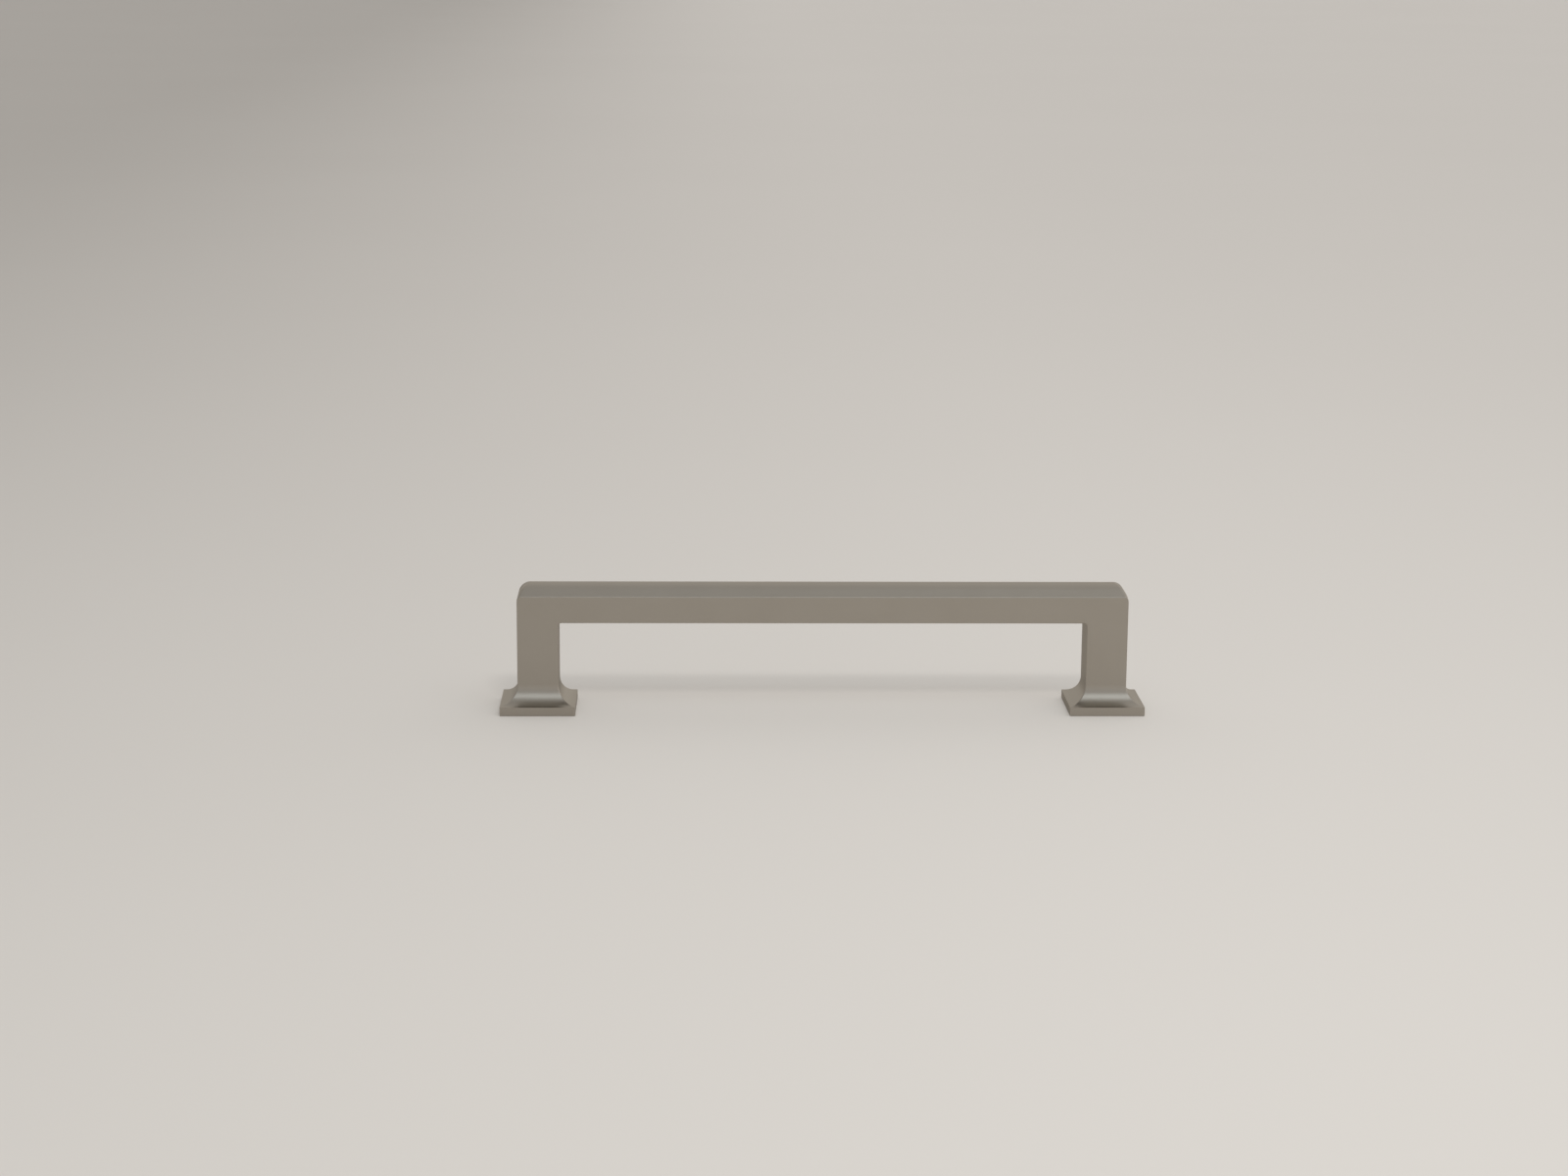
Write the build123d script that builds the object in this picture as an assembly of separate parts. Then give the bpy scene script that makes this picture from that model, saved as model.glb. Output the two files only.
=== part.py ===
from build123d import *
import os
from math import acos, cos, degrees, radians, sin, tan

# Bridge pull handle, millimetres. It stands on its two feet, as it does on a drawer front that
# lies flat: Z points away from that front, X runs along the bar and Y across it. The origin is
# on the mounting plane, midway between the two screw holes.

# Overall sizes
hole_spacing = 128.0            # centre to centre of the two tapped holes
projection = 29.0               # mounting plane to the crown of the bar
finger_clearance = 20.5         # mounting plane to the flat underside of the bar

# Bar and posts, flush with each other front and back
post_width = 9.2                # along the bar
bar_depth = 9.2                 # across the bar
outer_corner_radius = 3.9       # where the bar turns down into a post, outside
inner_corner_radius = 0.7       # the same corner, inside the grip

# Crown of the bar: a flat facet front and back, with an arc between them
facet_rise = 1.45               # height of each facet
facet_slope = 40.0              # lean of each facet from the horizontal, degrees

# Square feet
flare_reach = 3.85              # how far a foot stands out from its post, on all four sides
cove_radius = 4.3               # hollow of the flare, tangent to the post
plate_thickness = 2.0           # straight-sided plate under the flare

# Tapped holes for M4 machine screws
thread_core_diameter = 3.3
hole_depth = 13.0               # to the end of the full diameter
hole_mouth_diameter = 4.4       # countersunk lead-in at the mounting plane
drill_point_angle = 118.0       # included angle of the blind end, degrees

# Edges left by casting and polishing
crease_radius = 0.7             # where the crown runs out over the outer corners
crease_lift = 0.1               # outer corners stand this far over the crown before they blend
edge_radius = 0.2               # every other outside edge

# Places that follow from the sizes above
post_centres = (-hole_spacing / 2, hole_spacing / 2)
half_length = (hole_spacing + post_width) / 2
cove_turn = degrees(acos(1 - flare_reach / cove_radius))
flare_top = plate_thickness + cove_radius * sin(radians(cove_turn))


def bridge_outline():
    """The handle seen from the front: bar and two posts, with rounded corners."""
    inside = half_length - post_width
    top = projection + crease_lift
    with BuildSketch(Plane.XZ) as sketch:
        with BuildLine():
            Polyline(
                (-half_length, 0),
                (-half_length, top),
                (half_length, top),
                (half_length, 0),
                (inside, 0),
                (inside, finger_clearance),
                (-inside, finger_clearance),
                (-inside, 0),
                close=True,
            )
        make_face()
        fillet(sketch.vertices().group_by(Axis.Y)[-1], outer_corner_radius)
        corners = sketch.vertices().filter_by_position(Axis.Y, finger_clearance, finger_clearance)
        fillet(corners, inner_corner_radius)
    return sketch.sketch


def crowned_section():
    """The bar cut across: upright faces, a facet above each, and an arc tangent to both."""
    half_depth = bar_depth / 2
    lean = radians(facet_slope)
    arc_half_width = half_depth - facet_rise / tan(lean)
    arc_radius = arc_half_width / sin(lean)
    facet_top = projection - arc_radius * (1 - cos(lean))
    shoulder = facet_top - facet_rise
    with BuildSketch(Plane.YZ) as sketch:
        with BuildLine():
            Polyline(
                (-arc_half_width, facet_top),
                (-half_depth, shoulder),
                (-half_depth, 0),
                (half_depth, 0),
                (half_depth, shoulder),
                (arc_half_width, facet_top),
            )
            ThreePointArc((arc_half_width, facet_top), (0, projection), (-arc_half_width, facet_top))
        make_face()
    return sketch.sketch


def flared_profile(plane, half_post):
    """One side view of a foot: a straight-sided plate under two coves that rise to the post."""
    half_foot = half_post + flare_reach
    centre_offset = half_post + cove_radius
    with BuildSketch(plane) as sketch:
        with BuildLine():
            right = CenterArc((centre_offset, flare_top), cove_radius, 180, cove_turn)
            left = CenterArc((-centre_offset, flare_top), cove_radius, 0, -cove_turn)
            Line(left @ 0, right @ 0)
            Polyline(right @ 1, (half_foot, 0), (-half_foot, 0), left @ 1)
        make_face()
    return sketch.sketch


def bridge():
    """Bar and posts in one: the front outline and the crowned section, each run through the other."""
    upright = extrude(bridge_outline(), bar_depth / 2, both=True)
    crowned = extrude(crowned_section(), half_length, both=True)
    return upright & crowned


def blend_outer_corners(body):
    """Round the creases where the crown meets the outer corner cylinders."""
    above_posts = body.edges().filter_by_position(Axis.Z, projection - outer_corner_radius, projection)
    creases = above_posts.filter_by(GeomType.LINE, reverse=True).filter_by(GeomType.CIRCLE, reverse=True)
    return fillet(creases, crease_radius)


def flared_foot():
    """A square foot: the same flare run both ways, so that its coves meet in mitred arrises."""
    half_width = post_width / 2 + flare_reach
    half_depth = bar_depth / 2 + flare_reach
    front_view = extrude(flared_profile(Plane.XZ, post_width / 2), half_depth, both=True)
    side_view = extrude(flared_profile(Plane.YZ, bar_depth / 2), half_width, both=True)
    return front_view & side_view


def break_edges(body):
    """Round the post arrises, with the mitres and bar edges that run on from them, and the plate rims."""
    edges = body.edges()
    uprights = edges.filter_by(Axis.Z)
    plate_tops = edges.filter_by_position(Axis.Z, plate_thickness, plate_thickness)
    plate_bottoms = edges.group_by(Axis.Z)[0]
    return fillet(uprights + plate_tops + plate_bottoms, edge_radius)


def tapped_hole():
    """Core of a blind M4 thread, with a countersunk mouth below and a drill point above."""
    core_radius = thread_core_diameter / 2
    mouth_radius = hole_mouth_diameter / 2
    mouth_depth = mouth_radius - core_radius
    point_depth = core_radius / tan(radians(drill_point_angle / 2))
    with BuildSketch(Plane.XZ) as sketch:
        with BuildLine():
            Polyline(
                (0, 0),
                (mouth_radius, 0),
                (core_radius, mouth_depth),
                (core_radius, hole_depth),
                (0, hole_depth + point_depth),
                close=True,
            )
        make_face()
    return revolve(sketch.sketch, Axis.Z)


def handle_body():
    """The whole casting, drilled from below."""
    body = blend_outer_corners(bridge())
    for centre in post_centres:
        body += Pos(centre, 0, 0) * flared_foot()
    body = break_edges(body)
    for centre in post_centres:
        body -= Pos(centre, 0, 0) * tapped_hole()
    return body


os.makedirs("parts", exist_ok=True)
handle = handle_body()
export_step(handle, "parts/handle_body.step")
print("handle_body volume", round(handle.volume, 1), "mm3")
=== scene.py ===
from math import cos, pi, radians, sin

import bpy
from mathutils import Matrix, Vector


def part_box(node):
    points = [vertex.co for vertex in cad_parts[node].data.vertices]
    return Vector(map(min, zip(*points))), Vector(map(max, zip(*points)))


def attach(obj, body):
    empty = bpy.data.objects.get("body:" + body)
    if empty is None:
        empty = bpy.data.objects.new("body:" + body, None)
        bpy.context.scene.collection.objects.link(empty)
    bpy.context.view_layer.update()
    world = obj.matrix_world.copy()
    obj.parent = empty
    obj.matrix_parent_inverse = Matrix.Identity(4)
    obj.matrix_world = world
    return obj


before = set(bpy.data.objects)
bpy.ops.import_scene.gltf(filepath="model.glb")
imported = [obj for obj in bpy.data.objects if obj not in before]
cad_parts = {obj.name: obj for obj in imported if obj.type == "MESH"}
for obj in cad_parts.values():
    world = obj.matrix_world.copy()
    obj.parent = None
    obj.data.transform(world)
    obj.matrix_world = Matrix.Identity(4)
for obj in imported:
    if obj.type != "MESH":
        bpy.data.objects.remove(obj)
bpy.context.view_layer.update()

# Places on the handle, in metres
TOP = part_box("handle_body")[1].z
HOLE_OFFSET = 0.064


# ---------------------------------------------------------------- node helpers

def new_material(name):
    """An empty node material: returns it, a function that adds nodes, and one that links sockets."""
    material = bpy.data.materials.new(name)
    material.use_nodes = True
    tree = material.node_tree
    tree.nodes.clear()
    return material, tree.nodes.new, tree.links.new


def value_range(node, link, source, low_out, high_out, low_in=0.0, high_in=1.0, curve="LINEAR"):
    """Map a value, from 0 to 1 unless other ends are given, onto a range and hold it at the ends."""
    mapping = node("ShaderNodeMapRange")
    mapping.interpolation_type = curve
    mapping.inputs["From Min"].default_value = low_in
    mapping.inputs["From Max"].default_value = high_in
    mapping.inputs["To Min"].default_value = low_out
    mapping.inputs["To Max"].default_value = high_out
    link(source, mapping.inputs["Value"])
    return mapping.outputs["Result"]


def combine(node, link, operation, first, second):
    """One maths node on two values."""
    maths = node("ShaderNodeMath")
    maths.operation = operation
    link(first, maths.inputs[0])
    link(second, maths.inputs[1])
    return maths.outputs["Value"]


def noise(node, link, coords, scale, detail=2.0):
    """Object-space noise with features about 1/scale metres across."""
    texture = node("ShaderNodeTexNoise")
    texture.inputs["Scale"].default_value = scale
    texture.inputs["Detail"].default_value = detail
    link(coords, texture.inputs["Vector"])
    return texture.outputs["Fac"]


def mottle(node, link, pattern, darker, lighter):
    """A colour that follows a pattern between two close shades."""
    tint = node("ShaderNodeMix")
    tint.data_type = "RGBA"
    tint.inputs["A"].default_value = darker
    tint.inputs["B"].default_value = lighter
    link(pattern, tint.inputs["Factor"])
    return tint.outputs["Result"]


# ------------------------------------------------------------------- materials

def satin_nickel():
    """Plated zinc with a satin finish: warm grey metal, very fine tooth, slight unevenness."""
    darker = (0.380, 0.346, 0.300, 1.0)
    lighter = (0.412, 0.378, 0.332, 1.0)
    grazing_tint = (0.54, 0.52, 0.49, 1.0)
    cloud_scale = 90.0
    grain_scale = 2600.0
    tooth_scale = 9000.0
    fine_detail = 3.0
    smoothest = 0.32
    roughest = 0.40
    cloud_swing = 0.02
    tooth_strength = 0.25
    tooth_height = 0.00002

    material, node, link = new_material("satin_nickel")
    place = node("ShaderNodeTexCoord").outputs["Object"]
    shader = node("ShaderNodeBsdfPrincipled")
    shader.inputs["Metallic"].default_value = 1.0
    shader.inputs["Specular Tint"].default_value = grazing_tint

    cloud = noise(node, link, place, cloud_scale, fine_detail)
    tooth = noise(node, link, place, tooth_scale)
    grain = noise(node, link, place, grain_scale, fine_detail)
    link(mottle(node, link, cloud, darker, lighter), shader.inputs["Base Color"])

    uneven = value_range(node, link, cloud, -cloud_swing, cloud_swing)
    satin = value_range(node, link, grain, smoothest, roughest)
    link(combine(node, link, "ADD", uneven, satin), shader.inputs["Roughness"])

    bump = node("ShaderNodeBump")
    bump.inputs["Strength"].default_value = tooth_strength
    bump.inputs["Distance"].default_value = tooth_height
    link(tooth, bump.inputs["Height"])
    link(bump.outputs["Normal"], shader.inputs["Normal"])

    output = node("ShaderNodeOutputMaterial")
    link(shader.outputs["BSDF"], output.inputs["Surface"])
    return material


def studio_paper():
    """Matt pale paper with painted light: it glows faintly to the camera and in reflections, stronger on
    the right and fading out to the left, as paper lit more from the right would look.
    """
    darker = (0.552, 0.524, 0.492, 1.0)
    lighter = (0.570, 0.542, 0.510, 1.0)
    mottle_scale = 3.0
    # Painted light: this glow stands in for brighter lighting on the right-hand side of the paper.
    glow_colour = (1.0, 0.955, 0.905, 1.0)
    painted_glow_strength = 0.17
    glow_starts_x = -0.52
    glow_full_x = 0.14

    material, node, link = new_material("studio_paper")
    place = node("ShaderNodeTexCoord").outputs["Object"]
    shader = node("ShaderNodeBsdfPrincipled")
    shader.inputs["Roughness"].default_value = 0.9
    shader.inputs["Specular IOR Level"].default_value = 0.1
    pattern = noise(node, link, place, mottle_scale)
    link(mottle(node, link, pattern, darker, lighter), shader.inputs["Base Color"])

    ray = node("ShaderNodeLightPath").outputs
    seen = combine(node, link, "MAXIMUM", ray["Is Camera Ray"], ray["Is Glossy Ray"])
    across = node("ShaderNodeSeparateXYZ")
    link(place, across.inputs["Vector"])
    # The painted glow is full from glow_full_x rightwards and fades to nothing at glow_starts_x on the
    # left.
    painted_glow_fade = value_range(node, link, across.outputs["X"], 0.0, painted_glow_strength,
                          glow_starts_x, glow_full_x, "SMOOTHSTEP")
    glow = node("ShaderNodeEmission")
    glow.inputs["Color"].default_value = glow_colour
    link(combine(node, link, "MULTIPLY", painted_glow_fade, seen), glow.inputs["Strength"])

    both = node("ShaderNodeAddShader")
    link(shader.outputs["BSDF"], both.inputs[0])
    link(glow.outputs["Emission"], both.inputs[1])
    output = node("ShaderNodeOutputMaterial")
    link(both.outputs["Shader"], output.inputs["Surface"])
    return material


# --------------------------------------------------------------------- threads

def thread(name, centre, material):
    """The M4 thread in one tapped hole: a helical ridge that stands a little proud of its wall."""
    pitch = 0.0007
    root_radius = 0.00168       # 0.03 mm into the wall of the 3.3 mm bore
    crest_radius = 0.00153
    root_half = 0.00024
    crest_half = 0.00006
    first_z = 0.0009
    turns = 14
    steps_per_turn = 48
    taper_steps = 24
    steps = turns * steps_per_turn
    vertices = []
    for step in range(steps + 1):
        angle = 2 * pi * step / steps_per_turn
        z = first_z + pitch * step / steps_per_turn
        height = min(1.0, (step + 1) / taper_steps, (steps + 1 - step) / taper_steps)
        inner = root_radius - (root_radius - crest_radius) * height
        profile = (
            (root_radius, -root_half), (inner, -crest_half), (inner, crest_half), (root_radius, root_half),
        )
        for radius, rise in profile:
            vertices.append((centre + radius * cos(angle), radius * sin(angle), z + rise))
    corners = len(profile)
    faces = [(3, 2, 1, 0), tuple(steps * corners + i for i in range(corners))]
    for step in range(steps):
        here = step * corners
        there = here + corners
        for i in range(corners):
            j = (i + 1) % corners
            faces.append((here + i, here + j, there + j, there + i))
    mesh = bpy.data.meshes.new(name)
    mesh.from_pydata(vertices, [], faces)
    mesh.materials.append(material)
    ridge = bpy.data.objects.new(name, mesh)
    bpy.context.scene.collection.objects.link(ridge)
    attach(ridge, "root")


# ----------------------------------------------------------------------- stage

def paper_floor():
    """One wide round sheet that runs out of sight, so no horizon shows."""
    radius = 9.0
    rim_points = 96
    rim = [2 * pi * i / rim_points for i in range(rim_points)]
    mesh = bpy.data.meshes.new("paper_floor")
    mesh.from_pydata([(radius * cos(t), radius * sin(t), 0.0) for t in rim], [], [range(rim_points)])
    mesh.materials.append(studio_paper())
    sheet = bpy.data.objects.new("paper_floor", mesh)
    bpy.context.scene.collection.objects.link(sheet)


def soft_box(name, place, aim, width, depth, watts, colour):
    """A rectangular area lamp at place, facing aim."""
    lamp = bpy.data.lights.new(name, "AREA")
    lamp.shape = "RECTANGLE"
    lamp.size = width
    lamp.size_y = depth
    lamp.energy = watts
    lamp.color = colour
    box = bpy.data.objects.new(name, lamp)
    box.location = place
    box.rotation_euler = (Vector(aim) - Vector(place)).to_track_quat("-Z", "Y").to_euler()
    bpy.context.scene.collection.objects.link(box)
    return box


def studio_air():
    """Even light from all round: dimmer overhead and in front, a little brighter on the right."""
    colour = (1.0, 0.985, 0.96, 1.0)
    at_horizon = 0.90
    overhead = 0.52
    swings = (("X", 0.24), ("Y", 0.20))

    world = bpy.data.worlds.new("studio_air")
    world.use_nodes = True
    node = world.node_tree.nodes.new
    link = world.node_tree.links.new
    background = world.node_tree.nodes["Background"]
    background.inputs["Color"].default_value = colour
    axes = node("ShaderNodeSeparateXYZ")
    link(node("ShaderNodeTexCoord").outputs["Generated"], axes.inputs["Vector"])
    total = value_range(node, link, axes.outputs["Z"], at_horizon, overhead)
    for axis, swing in swings:
        more = value_range(node, link, axes.outputs[axis], -swing, swing, -1.0, 1.0)
        total = combine(node, link, "ADD", total, more)
    link(total, background.inputs["Strength"])
    bpy.context.scene.world = world


def lights():
    """A wide soft box high in front, and a small key that throws the bar's shadow behind it."""
    middle = (0.0, 0.0, 0.5 * TOP)
    cool = (0.81, 0.92, 1.0)
    warm = (1.0, 0.98, 0.95)
    soft_box("front_box", (0.16, -0.50, 0.80), middle, width=1.0, depth=0.50, watts=1.45, colour=cool)
    key = soft_box("key_box", (0.16, -0.85, 0.90), middle, width=0.22, depth=0.16, watts=2.8, colour=warm)
    key.visible_glossy = False
    studio_air()


def camera():
    """The viewpoint: 0.70 m in front of the bar, 30 mm left of its middle, 0.18 m above the floor."""
    place = Vector((-0.0305, -0.6950, 0.1793))
    pitch = radians(12.305)
    yaw = radians(1.793)
    roll = radians(0.446)
    forward = Vector((sin(yaw) * cos(pitch), cos(yaw) * cos(pitch), -sin(pitch)))
    level = Vector((cos(yaw), -sin(yaw), 0.0))
    upright = level.cross(forward)
    right = level * cos(roll) + upright * sin(roll)
    up = upright * cos(roll) - level * sin(roll)
    data = bpy.data.cameras.new("camera")
    data.sensor_width = 36.0
    data.lens = 72.6
    data.clip_start = 0.01
    view = bpy.data.objects.new("camera", data)
    view.matrix_world = Matrix((
        (right.x, up.x, -forward.x, place.x),
        (right.y, up.y, -forward.y, place.y),
        (right.z, up.z, -forward.z, place.z),
        (0.0, 0.0, 0.0, 1.0),
    ))
    bpy.context.scene.collection.objects.link(view)
    bpy.context.scene.camera = view


# ------------------------------------------------------------------------ make

nickel = satin_nickel()
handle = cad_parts["handle_body"]
handle.data.materials.clear()
handle.data.materials.append(nickel)
thread("thread_left", -HOLE_OFFSET, nickel)
thread("thread_right", HOLE_OFFSET, nickel)

paper_floor()
lights()
camera()
bpy.context.scene.view_settings.view_transform = "Standard"
